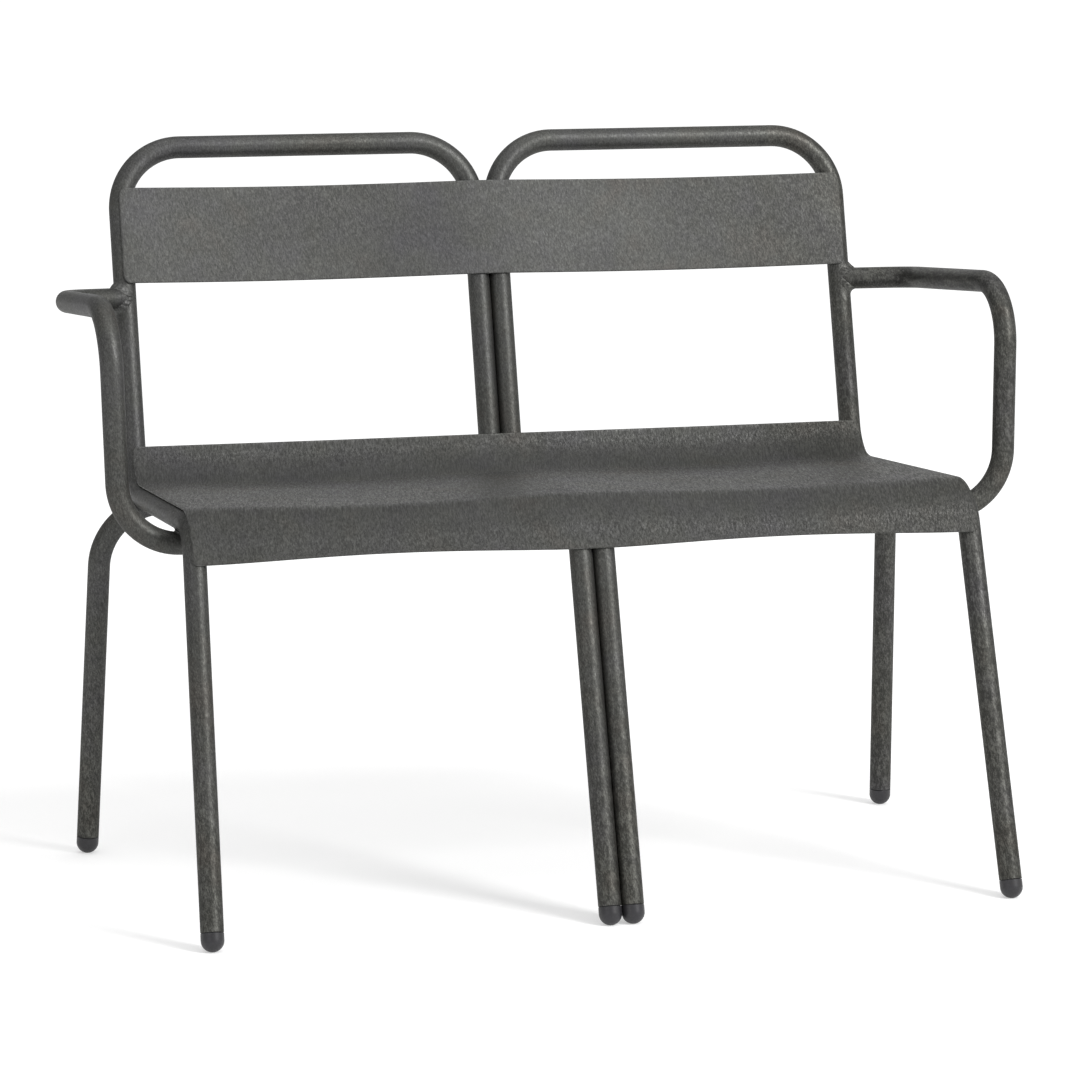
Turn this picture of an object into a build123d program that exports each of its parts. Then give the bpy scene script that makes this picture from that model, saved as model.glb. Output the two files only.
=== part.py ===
from build123d import *
import math
import os

# Tube, sheet and clearances, in millimetres
tube_od = 25.0             # round tube of the frames, rear legs and arms
tube_wall = 1.5
sheet_thickness = 2.0      # seat and back sheets
weld_gap = 0.3             # left between two tubes that touch, and round a weld
sheet_gap = 0.5            # left between a sheet and the tubes it is welded to

# Side view of a frame tube: corners of its centre line, +Y to the back, +Z up
frame_depth = 560.4        # from the front feet back to the top rail
back_rake = 95.6           # top rail, back past the rear of the seat
leg_rake = 125.6           # front feet, forward past the knees
rail_height = 798.0        # top rail of the back
seat_rear_height = 416.6   # where the upright meets the seat rail
knee_height = 430.4        # where the seat rail meets the front leg

# Front view of a frame tube, from the middle of the bench
upright_x = 426.5          # outer upright and rear end of the seat rail
knee_spread = 8.5          # outer knee, out past the upright
front_foot_spread = 11.0   # outer front foot, out past the knee

# Bend radii at the centre of the tube
top_bend = 72.0            # top corners of the back
seat_bend = 60.0           # rear of the seat
knee_bend = 42.0           # front of the seat
hoop_bend = 72.0           # top corners of the rear legs
arm_bend = 68.0            # front of an arm, top and bottom
shoulder_bend = 48.0       # rear corner of an arm

# Rear legs, one hoop under the back of the seat
hoop_spread = 41.5         # corner of the hoop, out past the upright
rear_foot_spread = 13.0    # rear foot, out past the corner
rear_leg_rake = 42.6       # rear foot, back past the rear of the seat
hoop_seat_angle = 31.0     # where the hoop touches the seat bend, from straight below it

# Arms, each from its rear end on the upright
arm_drop = 14.9            # rear end, below the lower edge of the back sheet
shoulder_spread = 77.5     # rear corner, out past the upright
shoulder_rise = 2.9        # rear corner, above the rear end
shoulder_reach = 34.0      # rear corner, forward of the rear end
arm_front_spread = 4.2     # front corner, out past the rear corner
arm_front_rise = 23.4      # front corner, above the rear end
arm_setback = 69.3         # front corner, back from the knee
arm_base_inset = 6.0       # lower corner, in from the front corner
arm_lean = 10.2            # lower corner, forward of the front corner
arm_tail = 16.0           # how far an arm runs on past the middle of the seat rail

# Seat sheet
lip_straight = 3.0         # rear lip past the end of the seat bend
apron_straight = 13.0      # front apron past the end of the knee bend
apron_arch = 4.5           # rise of the lower front edge in the middle of each seat
seat_dish = 4.0            # hollow of each seat
lip_dish = 3.0
seat_overhang = 5.5        # past the centre line of the outer tubes
seat_corner = 9.0

# Back sheet
back_drop = 46.0           # top edge, below the rail on the upright's centre line
back_height = 105.5
back_dish = 13.0
back_overhang = 3.0
back_corner = 8.0

# Foot plugs
foot_collar = 8.0          # straight rim between the dome and the end of the tube
foot_flat = 0.5            # how much of the dome is worn flat
plug_length = 22.0
plug_gap = 0.2             # between a plug and the bore of its tube

# Welds
fillet_leg = 7.0           # above and below the rear end of an arm
fillet_side = 1.5          # beside the arm, where its tube runs into the upright
fillet_toe = 0.5           # thickness left at the thin end
crossing_radius = 9.0      # round the point where two tubes cross

tube_radius = tube_od / 2
bore_radius = tube_radius - tube_wall
weld_radius = tube_radius + weld_gap
inner_x = tube_radius + weld_gap / 2
foot_height = tube_radius - foot_flat
rail_y = frame_depth / 2
seat_rear_y = rail_y - back_rake
front_foot_y = -frame_depth / 2
knee_y = front_foot_y + leg_rake
rear_foot_y = seat_rear_y + rear_leg_rake
arm_front_y = knee_y + arm_setback
arm_base_y = arm_front_y - arm_lean
knee_x = upright_x + knee_spread
front_foot_x = knee_x + front_foot_spread
hoop_corner_x = upright_x + hoop_spread
rear_foot_x = hoop_corner_x + rear_foot_spread
back_top = rail_height - back_drop
back_bottom = back_top - back_height
arm_height = back_bottom - arm_drop


def side_point(y, z):
    return Vector(0, y, z)


rail_corner = side_point(rail_y, rail_height)
seat_rear = side_point(seat_rear_y, seat_rear_height)
knee = side_point(knee_y, knee_height)
front_foot = side_point(front_foot_y, foot_height)


def at_x(point, x):
    return Vector(x, point.Y, point.Z)


def mirrored(points, side):
    return [at_x(point, side * point.X) for point in points]


def at_height(start, end, height):
    return start + (end - start) * ((height - start.Z) / (end.Z - start.Z))


def outward(start, end):
    # unit normal of a side-view run, on the side where the sitter is
    run = (end - start).normalized()
    return Vector(0, run.Z, -run.Y)


def meet(point, run, other, other_run):
    # crossing point of two side-view lines
    gap = other - point
    turn = run.Y * other_run.Z - run.Z * other_run.Y
    return point + run * ((gap.Y * other_run.Z - gap.Z * other_run.Y) / turn)


def along(line, section):
    return sweep(Plane(origin=line @ 0, z_dir=line % 0) * section, path=line)


def tube(line):
    return along(line, Circle(tube_radius) - Circle(bore_radius))


def tube_space(line):
    # room that a tube takes up, with the gap round it
    return along(line, Circle(weld_radius))


def leg_end(foot, leg_top):
    # the tube stops where the rim of its foot plug begins
    return foot + (leg_top - foot).normalized() * foot_collar


# Frame tubes: outer leg, seat rail, upright, top rail and back down to the inner leg
def frame_line(side):
    outer = [
        at_x(front_foot, front_foot_x),
        at_x(knee, knee_x),
        at_x(seat_rear, upright_x),
        at_x(rail_corner, upright_x),
    ]
    inner = [at_x(corner, inner_x) for corner in (rail_corner, seat_rear, knee, front_foot)]
    outer[0] = leg_end(outer[0], outer[1])
    inner[3] = leg_end(inner[3], inner[2])
    radii = [knee_bend, seat_bend, top_bend, top_bend, seat_bend, knee_bend]
    return FilletPolyline(*mirrored(outer + inner, side), radius=radii)


def seat_line(side, knee_at, rear_at):
    # one side of a frame tube, from the knee round the rear of the seat to the top
    corners = [at_x(knee, knee_at), at_x(seat_rear, rear_at), at_x(rail_corner, rear_at)]
    return FilletPolyline(*mirrored(corners, side), radius=[seat_bend])


def outer_seat_line(side):
    return seat_line(side, knee_x, upright_x)


def inner_seat_line(side):
    return seat_line(side, inner_x, inner_x)


# Rear legs: one hoop that lies against the outside of the seat bends
def seat_bend_centre():
    to_knee = (knee - seat_rear).normalized()
    to_rail = (rail_corner - seat_rear).normalized()
    half = math.radians(to_knee.get_angle(to_rail)) / 2
    return seat_rear + (to_knee + to_rail).normalized() * (seat_bend / math.sin(half))


def hoop_run():
    reach = seat_bend + tube_od + weld_gap
    angle = math.radians(hoop_seat_angle)
    return seat_bend_centre() + side_point(math.sin(angle), -math.cos(angle)) * reach


def hoop_line():
    run = hoop_run()
    foot = Vector(rear_foot_x, rear_foot_y, foot_height)
    corner = at_x(run, hoop_corner_x)
    half = [leg_end(foot, corner), corner]
    return FilletPolyline(*mirrored(half, -1), *reversed(half), radius=[hoop_bend, hoop_bend])


# Arms: out of the upright, forward, down and in under the seat rail
def rail_over_arm():
    rail_start = at_x(seat_rear, upright_x)
    rail_end = at_x(knee, knee_x)
    share = (arm_base_y - rail_start.Y) / (rail_end.Y - rail_start.Y)
    return rail_start + (rail_end - rail_start) * share


def arm_base(front, rail):
    # just under the sloping rail, or lower where the bend of the arm already rises there
    drop = (tube_od + weld_gap) / outward(seat_rear, knee).Z
    base = Vector(front.X - arm_base_inset, arm_base_y, rail.Z - drop)
    half_turn = math.radians((base - front).get_angle(Vector(-1, 0, 0))) / 2
    in_bend = max(0, rail.X - base.X + arm_bend * math.tan(half_turn))
    clear = arm_bend - tube_od - weld_gap
    return base - Vector(0, 0, clear - math.sqrt(clear**2 - in_bend**2))


def arm_corners(side):
    root = at_x(at_height(seat_rear, rail_corner, arm_height), upright_x)
    shoulder = root + Vector(shoulder_spread, -shoulder_reach, shoulder_rise)
    front = Vector(shoulder.X + arm_front_spread, arm_front_y, arm_height + arm_front_rise)
    rail = rail_over_arm()
    base = arm_base(front, rail)
    tail = at_x(base, rail.X - arm_tail)
    return mirrored([root, shoulder, front, base, tail], side)


def upright_space(side):
    return tube_space(Line(*mirrored([at_x(seat_rear, upright_x), at_x(rail_corner, upright_x)], side)))


def arm(side):
    line = FilletPolyline(*arm_corners(side), radius=[shoulder_bend, arm_bend, arm_bend])
    return tube(line) - upright_space(side)


# Welds: a fillet round the rear end of each arm, and a fill where two tubes cross
def arm_weld(side):
    root, shoulder = arm_corners(side)[:2]
    run = (shoulder - root).normalized()
    up = run.cross(rail_corner - seat_rear).cross(run)
    seat = Plane(origin=root, x_dir=up, z_dir=run)
    reach = weld_radius + fillet_leg
    wide_end = seat * Ellipse(reach + weld_radius, weld_radius + fillet_side)
    thin_end = seat.offset(reach) * Circle(weld_radius + fillet_toe)
    return loft([wide_end, thin_end]) - (upright_space(side) + tube_space(Line(root, shoulder)))


def crossing_weld(line, other):
    gap, here, there = line.distance_to_with_closest_points(other)
    fill = Cylinder(crossing_radius, gap, align=(Align.CENTER, Align.CENTER, Align.MIN))
    return Plane(origin=here, z_dir=there - here) * fill - tube_space(line) - tube_space(other)


def arm_tail_weld(side):
    front_post = FilletPolyline(*arm_corners(side)[2:], radius=[arm_bend])
    return crossing_weld(outer_seat_line(side), front_post)


# Seat sheet: lip, seat and apron in one bent sheet, hollowed a little in each seat
def bend_end(before, corner, after, radius, straight):
    # point on the run after a bend, a straight length past where the bend ends
    half_turn = math.radians((corner - before).get_angle(after - corner)) / 2
    return corner + (after - corner).normalized() * (radius * math.tan(half_turn) + straight)


def seat_side(x, hollow, lift):
    depth = tube_radius + sheet_gap + lift
    lip_depth = depth - lip_dish * hollow
    seat_depth = depth - seat_dish * hollow
    lip_normal = outward(rail_corner, seat_rear)
    seat_normal = outward(seat_rear, knee)
    apron_normal = outward(knee, front_foot)
    lip_top = bend_end(knee, seat_rear, rail_corner, seat_bend, lip_straight) + lip_normal * lip_depth
    apron_length = apron_straight - apron_arch * hollow
    apron_end = bend_end(seat_rear, knee, front_foot, knee_bend, apron_length) + apron_normal * depth
    seat_point = seat_rear + seat_normal * seat_depth
    seat_run = knee - seat_rear
    rear = meet(lip_top, rail_corner - seat_rear, seat_point, seat_run)
    front = meet(apron_end, front_foot - knee, seat_point, seat_run)
    radii = [seat_bend - depth, knee_bend + depth]
    return FilletPolyline(*[at_x(p, x) for p in (lip_top, rear, front, apron_end)], radius=radii)


def closed_face(under, over):
    return make_face([under, Line(under @ 1, over @ 1), over, Line(over @ 0, under @ 0)])


def across_two_seats(half_width, section):
    # section(x, hollow): hollow is 1 in the middle of each seat and 0 at the tubes
    middle = (upright_x + inner_x) / 2
    one_seat = [(middle, 1), (upright_x, 0), (half_width, 0)]
    left = [(-x, hollow) for x, hollow in reversed(one_seat)]
    return loft([section(x, hollow) for x, hollow in left + [(0, 0)] + one_seat])


def seat_edge(point, side):
    # the seat's side edges follow the outer tubes, which spread towards the front
    share = (point.Y - seat_rear_y) / (knee_y - seat_rear_y)
    return at_x(point, side * (upright_x + (knee_x - upright_x) * share + seat_overhang))


def corner_cut(corner, across, inward):
    # what is taken off a square sheet corner to round it
    face = Plane(origin=corner, x_dir=across, z_dir=across.cross(inward))
    kept = Pos(seat_corner, seat_corner) * Circle(seat_corner)
    waste = Rectangle(2 * seat_corner, 2 * seat_corner) - kept
    return extrude(face * waste, amount=tube_radius, both=True)


def seat_sheet():
    def section(x, hollow):
        return closed_face(seat_side(x, hollow, 0), seat_side(x, hollow, sheet_thickness))

    sheet = across_two_seats(front_foot_x + seat_overhang, section)
    edge = seat_side(0, 0, 0)
    for side in (-1, 1):
        run = (seat_edge(seat_rear, side) - seat_edge(knee, side)) * side
        trim = Plane(origin=seat_edge(knee, side), x_dir=run, z_dir=run.cross(Vector(0, 0, 1)))
        sheet = split(sheet, trim, keep=Keep.BOTTOM)
        across = Vector(-side, 0, 0)
        sheet = sheet - corner_cut(seat_edge(edge @ 0, side), across, edge % 0)
        sheet = sheet - corner_cut(seat_edge(edge @ 1, side), across, -(edge % 1))
    return sheet


# Back sheet: a shallow hollow behind each sitter, cut to a rounded oblong
def back_sheet():
    normal = outward(rail_corner, seat_rear)
    bottom = at_height(seat_rear, rail_corner, back_bottom)
    top = at_height(seat_rear, rail_corner, back_top)
    margin = (top - bottom).normalized() * back_corner

    def section(x, hollow):
        ends = [at_x(bottom - margin, x), at_x(top + margin, x)]
        under = normal * (tube_radius + sheet_gap - back_dish * hollow)
        over = under + normal * sheet_thickness
        return closed_face(Line(*[end + under for end in ends]), Line(*[end + over for end in ends]))

    half_width = upright_x + back_overhang
    stock = across_two_seats(half_width + back_corner, section)
    face = Plane(origin=(bottom + top) / 2, x_dir=(1, 0, 0), z_dir=normal)
    outline = RectangleRounded(2 * half_width, (top - bottom).length, back_corner)
    return stock & extrude(face * outline, amount=tube_od + back_dish, both=True)


# Foot plugs: a dome that closes the end of a leg, with a stem in its bore
def foot_plug(foot, leg_top):
    stem = bore_radius - plug_gap
    stem_end = foot_collar + plug_length
    rim = [(tube_radius, 0), (tube_radius, foot_collar)]
    stem_side = [(stem, foot_collar), (stem, stem_end), (0, stem_end)]
    pole = (0, -tube_radius)
    outline = make_face([RadiusArc(pole, rim[0], -tube_radius), Polyline(*rim, *stem_side, pole)])
    turned = Plane(origin=foot, z_dir=leg_top - foot) * revolve(Plane.XZ * outline, Axis.Z)
    return split(turned, Plane.XY, keep=Keep.TOP)


legs = {
    "outer_front": (at_x(front_foot, front_foot_x), at_x(knee, knee_x)),
    "inner_front": (at_x(front_foot, inner_x), at_x(knee, inner_x)),
    "rear": (Vector(rear_foot_x, rear_foot_y, foot_height), at_x(hoop_run(), hoop_corner_x)),
}
nodes = {
    "rear_leg_hoop": tube(hoop_line()),
    "seat_sheet": seat_sheet(),
    "back_sheet": back_sheet(),
}
for name, side in (("left", -1), ("right", 1)):
    nodes[f"{name}_frame_tube"] = tube(frame_line(side))
    nodes[f"{name}_arm"] = arm(side)
    nodes[f"{name}_arm_weld"] = arm_weld(side)
    nodes[f"{name}_arm_tail_weld"] = arm_tail_weld(side)
    nodes[f"{name}_outer_hoop_weld"] = crossing_weld(outer_seat_line(side), hoop_line())
    nodes[f"{name}_inner_hoop_weld"] = crossing_weld(inner_seat_line(side), hoop_line())
    for leg, ends in legs.items():
        nodes[f"{name}_{leg}_foot"] = foot_plug(*mirrored(ends, side))

os.makedirs("parts", exist_ok=True)
for name, solid in nodes.items():
    export_step(solid, f"parts/{name}.step")
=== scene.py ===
import math

import bmesh
import bpy
import numpy as np
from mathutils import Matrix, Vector


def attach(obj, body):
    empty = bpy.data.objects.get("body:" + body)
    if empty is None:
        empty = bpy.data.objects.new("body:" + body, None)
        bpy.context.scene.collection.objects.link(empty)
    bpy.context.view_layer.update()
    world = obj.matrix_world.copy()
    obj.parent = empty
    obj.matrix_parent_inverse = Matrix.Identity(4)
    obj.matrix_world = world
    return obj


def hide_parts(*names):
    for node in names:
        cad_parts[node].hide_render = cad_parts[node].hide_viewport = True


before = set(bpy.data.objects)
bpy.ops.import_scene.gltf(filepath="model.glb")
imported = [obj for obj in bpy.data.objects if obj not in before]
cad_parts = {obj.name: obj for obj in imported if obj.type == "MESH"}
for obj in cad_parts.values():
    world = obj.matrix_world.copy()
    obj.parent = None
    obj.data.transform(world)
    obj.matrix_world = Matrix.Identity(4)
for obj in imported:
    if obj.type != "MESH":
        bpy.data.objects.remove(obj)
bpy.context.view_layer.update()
print("frame loaded with", len(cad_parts), "nodes")

bench = {                          # sizes that several pieces share, in metres
    "tubeRadius": 0.0125,
    "tubeWall": 0.0015,
    "sheet": 0.002,                # thickness of the seat and back sheets
    "weldGap": 0.0003,
    "sheetGap": 0.0005,            # between a sheet and the tubes under it
    "uprightX": 0.4265,
    "kneeX": 0.435,
    "footX": 0.446,
    "innerX": 0.01265,             # the two inner tubes stand side by side
    "rail": (0.2802, 0.798),       # side view corners of a frame tube, Y and Z
    "seatRear": (0.1846, 0.4166),
    "knee": (-0.1546, 0.4304),
    "foot": (-0.2802, 0.012),
    "seatBend": 0.060,
    "kneeBend": 0.042,
    "footCollar": 0.008,           # rim of a foot plug below the end of its tube
}
sides = {"left": -1, "right": 1}


# Points, lines and rings

def unit(v):
    return v / np.linalg.norm(v, axis=-1, keepdims=True)


def at(x, corner):                 # point of a side view corner at a given X
    return np.array([x, corner[0], corner[1]])


def sideVector(a, b):              # side view direction from one corner of a frame tube to another
    return unit(np.array(bench[b]) - np.array(bench[a]))


def mirrored(points, side):
    return np.array(points, float) * [side, 1, 1]


def onRun(a, b, axis, value):      # point of the run a to b where one coordinate has a value
    return a + (b - a) * (value - a[axis]) / (b[axis] - a[axis])


def onUpright(x, height):          # point of an upright's axis at a height
    return onRun(at(x, bench["seatRear"]), at(x, bench["rail"]), 2, height)


uprightRun = at(0, sideVector("seatRear", "rail"))
uprightFront = np.array([0, -uprightRun[2], uprightRun[1]])   # square to the uprights, to the front


def fullTurn(count):               # angles once round
    return np.linspace(0, 2 * math.pi, count, endpoint=False)


# directions round an axis: the first vector times the cosine plus the second times the sine of each angle
def ring(first, second, angles):
    return first * np.cos(angles)[:, None] + second * np.sin(angles)[:, None]


# v turned about axis by each angle: v cos + (axis x v) sin + axis (axis . v)(1 - cos)
def turned(v, axis, angles):
    c = np.cos(angles)[:, None]
    s = np.sin(angles)[:, None]
    return v * c + np.cross(axis, v) * s + axis * np.dot(v, axis) * (1 - c)


# centre line of a bent tube: straight runs joined by tangent arcs, with a side direction
# that stays as it is on a run and turns with the tube in a bend
def bentLine(corners, bends, step=0.008, turnStep=math.radians(3.5)):
    corners = np.array(corners, float)
    runs = unit(np.diff(corners, axis=0))
    side = unit(np.cross(runs[0], np.eye(3)[np.argmin(np.abs(runs[0]))]))
    here = corners[0]
    points, tangents, sideways = [], [], []

    def straight(end, run, last=False):
        count = max(2, math.ceil(np.linalg.norm(end - here) / step))
        share = np.linspace(0, 1, count, endpoint=last)[:, None]
        points.append(here + (end - here) * share)
        tangents.append(np.repeat(run[None], len(share), 0))
        sideways.append(np.repeat(side[None], len(share), 0))

    for corner, before, after, bend in zip(corners[1:-1], runs[:-1], runs[1:], bends):
        angle = math.acos(np.dot(before, after))
        axis = unit(np.cross(before, after))
        start = corner - before * bend * math.tan(angle / 2)
        straight(start, before)
        inward = np.cross(axis, before) * bend
        turns = np.linspace(0, angle, max(2, math.ceil(angle / turnStep)), endpoint=False)
        points.append(start + inward - turned(inward, axis, turns))
        tangents.append(turned(before, axis, turns))
        sideways.append(turned(side, axis, turns))
        here = corner + after * bend * math.tan(angle / 2)
        side = turned(side, axis, np.array([angle]))[0]
    straight(corners[-1], runs[-1], last=True)
    points, tangents, sideways = map(np.concatenate, (points, tangents, sideways))
    steps = np.linalg.norm(np.diff(points, axis=0), axis=1)
    return {
        "points": points,
        "tangents": tangents,
        "sides": sideways,
        "ups": np.cross(tangents, sideways),
        "along": np.concatenate([[0], np.cumsum(steps)]),
    }


# Meshes

surface = {
    "merge": 1e-6,                 # points this close become one, which closes poles and shared rims
    "sharp": math.radians(40),     # a fold steeper than this stays crisp
}


def numbered(points):              # vertex numbers, laid out as the grid of points is
    return np.arange(points[..., 0].size).reshape(points.shape[:-1])


# quads of a grid of points, row by row; a wrapped grid joins its last row or column to the first
def gridQuads(index, wrapRows, wrapCols):
    rows = np.concatenate([index, index[:1]]) if wrapRows else index
    full = np.concatenate([rows, rows[:, :1]], 1) if wrapCols else rows
    corners = full[:-1, :-1], full[:-1, 1:], full[1:, 1:], full[1:, :-1]
    return np.stack(corners, -1).reshape(-1, 4)


def makePiece(name, points, quads, slot, replaced=(), grain=None, edge=0.0, paintedLight=None, finish=None):
    points = np.asarray(points, np.float32).reshape(-1, 3)
    mesh = bpy.data.meshes.new(name)
    mesh.vertices.add(len(points))
    mesh.vertices.foreach_set("co", points.ravel())
    mesh.loops.add(quads.size)
    mesh.loops.foreach_set("vertex_index", quads.astype(np.int32).ravel())
    mesh.polygons.add(len(quads))
    mesh.polygons.foreach_set("loop_start", np.arange(0, quads.size, 4, dtype=np.int32))
    mesh.update(calc_edges=True)
    grain = points if grain is None else np.asarray(grain, np.float32)
    place = mesh.attributes.new("grain", "FLOAT_VECTOR", "POINT")   # the coat's fibres run along its Z
    place.data.foreach_set("vector", grain.ravel())
    masks = {"edge": edge}                                          # 1 on a bare rim, 0 away from it
    if paintedLight is not None:
        masks["paintedLight"] = paintedLight                                        # painted light and shade: how much lighter the coat is painted there, darker where below 0
    for key, values in masks.items():
        mask = mesh.attributes.new(key, "FLOAT", "POINT")
        mask.data.foreach_set("value", np.broadcast_to(values, len(points)).astype(np.float32))
    shell = bmesh.new()
    shell.from_mesh(mesh)
    bmesh.ops.remove_doubles(shell, verts=shell.verts, dist=surface["merge"])
    if shell.calc_volume(signed=True) < 0:
        bmesh.ops.reverse_faces(shell, faces=shell.faces)           # faces point outwards
    shell.to_mesh(mesh)
    shell.free()
    mesh.polygons.foreach_set("use_smooth", np.ones(len(mesh.polygons), bool))
    mesh.set_sharp_from_angle(angle=surface["sharp"])
    piece = bpy.data.objects.new(name, mesh)
    bpy.context.scene.collection.objects.link(piece)
    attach(piece, "root")
    if replaced:
        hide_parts(*replaced)
    piece.data.materials.append(finishes[finish or slot])
    return piece


# Shader nodes

def makeGroup(name, inputs, outputs):
    group = bpy.data.node_groups.new(name, "ShaderNodeTree")
    for socketName, kind, value in inputs:
        socket = group.interface.new_socket(socketName, in_out="INPUT", socket_type=kind)
        if value is not None:
            socket.default_value = value
    for socketName, kind in outputs:
        group.interface.new_socket(socketName, in_out="OUTPUT", socket_type=kind)
    return group


def addNode(tree, kind, inputs=None, **settings):
    node = tree.nodes.new(kind)
    for key, value in settings.items():
        setattr(node, key, value)
    for socket, value in (inputs or {}).items():
        if isinstance(value, bpy.types.NodeSocket):
            tree.links.new(value, node.inputs[socket])
        else:
            node.inputs[socket].default_value = value
    return node


def maths(tree, operation, *values, clamp=False):
    node = addNode(tree, "ShaderNodeMath", dict(enumerate(values)), operation=operation, use_clamp=clamp)
    return node.outputs["Value"]


def ranged(tree, value, source=(0.0, 1.0), result=(0.0, 1.0)):   # a value taken from one range to another
    node = addNode(tree, "ShaderNodeMapRange", {
        "Value": value, "From Min": source[0], "From Max": source[1],
        "To Min": result[0], "To Max": result[1]})
    return node.outputs["Result"]


def noise(tree, place, scale, detail, roughness, distortion=0.0):
    node = addNode(tree, "ShaderNodeTexNoise", {
        "Vector": place, "Scale": scale, "Detail": detail, "Roughness": roughness, "Distortion": distortion})
    return node.outputs["Fac"]


def ramp(tree, fac, stops):
    node = addNode(tree, "ShaderNodeValToRGB", {"Fac": fac})
    elements = node.color_ramp.elements
    while len(elements) < len(stops):
        elements.new(0.5)
    for element, (position, colour) in zip(elements, stops):
        element.position = position
        element.color = (*colour, 1)
    return node.outputs["Color"]


def mixed(tree, fac, a, b, blend="MIX"):   # sockets 6, 7 and 2 of a Mix node are its colours
    a, b = ((*value, 1) if isinstance(value, tuple) else value for value in (a, b))
    node = addNode(tree, "ShaderNodeMix", {0: fac, 6: a, 7: b}, data_type="RGBA", blend_type=blend)
    return node.outputs[2]


# Shader groups

# short fibres of the coat, lighter and darker, longer along the grain than across it; they lean to +X
# going down the grain
def fibreGroup():
    group = makeGroup(
        "fibreFlecks",
        [("Place", "NodeSocketVector", None), ("Across", "NodeSocketFloat", 400),
         ("Along", "NodeSocketFloat", 180), ("Lean", "NodeSocketFloat", 0)],
        [("Flecks", "NodeSocketFloat"), ("Mottle", "NodeSocketFloat"), ("Relief", "NodeSocketFloat")],
    )
    given = addNode(group, "NodeGroupInput").outputs
    axes = addNode(group, "ShaderNodeSeparateXYZ", {"Vector": given["Place"]}).outputs
    leaned = maths(group, "MULTIPLY_ADD", axes["Z"], given["Lean"], axes["X"])
    leaning = addNode(group, "ShaderNodeCombineXYZ", {"X": leaned, "Y": axes["Y"], "Z": axes["Z"]})
    scale = addNode(group, "ShaderNodeCombineXYZ", {
        "X": given["Across"], "Y": given["Across"], "Z": given["Along"]})
    place = addNode(group, "ShaderNodeVectorMath", {
        0: leaning.outputs["Vector"], 1: scale.outputs["Vector"]}, operation="MULTIPLY").outputs["Vector"]
    coarse = noise(group, place, scale=1.0, detail=2.0, roughness=0.55, distortion=0.4)
    fine = noise(group, place, scale=2.3, detail=2.0, roughness=0.6)
    both = addNode(group, "ShaderNodeMix", {"Factor": 0.4, "A": coarse, "B": fine}).outputs["Result"]
    wide = noise(group, place, scale=0.3, detail=3.0, roughness=0.6, distortion=0.5)
    addNode(group, "NodeGroupOutput", {
        "Flecks": ranged(group, both, source=(0.32, 0.68)),
        "Mottle": ranged(group, wide, source=(0.35, 0.65)),
        "Relief": both,
    })
    return group


# wide soft patches: how light the coat is there, a faint tint, and how much darker and blotchier it is, at
# random and most near the floor and at one end of the bench
patches = {
    "tintShift": (3.1, 7.7, 1.3),      # the tint's noise comes from another place than the tone's
    "tints": (
        (0.30, (0.98, 0.97, 1.03)),    # violet
        (0.45, (1.00, 1.00, 1.00)),
        (0.56, (1.00, 1.01, 0.97)),    # olive
        (0.70, (1.04, 0.99, 0.93)),    # brown
    ),
    "heights": (0.42, 0.05),           # the coat grows darker and blotchier from the first height to the second
    "ends": (0.22, 0.46),              # and from the first to the second along X
    "most": 0.8,
}


def patchGroup():
    group = makeGroup(
        "tonePatches",
        [("Place", "NodeSocketVector", None), ("Size", "NodeSocketFloat", 12)],
        [("Tone", "NodeSocketFloat"), ("Tint", "NodeSocketColor"), ("Darkening", "NodeSocketFloat")],
    )
    given = addNode(group, "NodeGroupInput").outputs
    tone = noise(group, given["Place"], given["Size"], detail=4.0, roughness=0.6)
    moved = addNode(group, "ShaderNodeVectorMath", {
        0: given["Place"], 1: patches["tintShift"]}, operation="ADD").outputs["Vector"]
    hue = noise(group, moved, given["Size"], detail=3.0, roughness=0.65)
    wide = noise(group, given["Place"], scale=2.6, detail=1.0, roughness=0.5)
    axes = addNode(group, "ShaderNodeSeparateXYZ", {"Vector": given["Place"]}).outputs
    low = ranged(group, axes["Z"], patches["heights"], (0, patches["most"]))
    aside = ranged(group, axes["X"], patches["ends"], (0, patches["most"]))
    anywhere = ranged(group, wide, source=(0.52, 0.8))
    addNode(group, "NodeGroupOutput", {
        "Tone": ranged(group, tone, source=(0.3, 0.7)),
        "Tint": ramp(group, hue, patches["tints"]),
        "Darkening": maths(group, "ADD", anywhere, maths(group, "MAXIMUM", low, aside), clamp=True),
    })
    return group


# where a rim has been rubbed: its mask, broken up by noise
def rubGroup():
    group = makeGroup(
        "rubbedRim",
        [("Edge", "NodeSocketFloat", 0), ("Place", "NodeSocketVector", None),
         ("Reach", "NodeSocketFloat", 0.5)],
        [("Bare", "NodeSocketFloat")],
    )
    given = addNode(group, "NodeGroupInput").outputs
    grit = noise(group, given["Place"], scale=90.0, detail=4.0, roughness=0.7)
    broken = maths(group, "MULTIPLY", given["Edge"], grit)
    addNode(group, "NodeGroupOutput", {"Bare": ranged(group, broken, source=(given["Reach"], 0.75))})
    return group


groups = {"fibre": fibreGroup(), "patch": patchGroup(), "rub": rubGroup()}


def placeGroup(tree, key, inputs):
    return addNode(tree, "ShaderNodeGroup", inputs, node_tree=groups[key]).outputs


# Finishes

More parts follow.
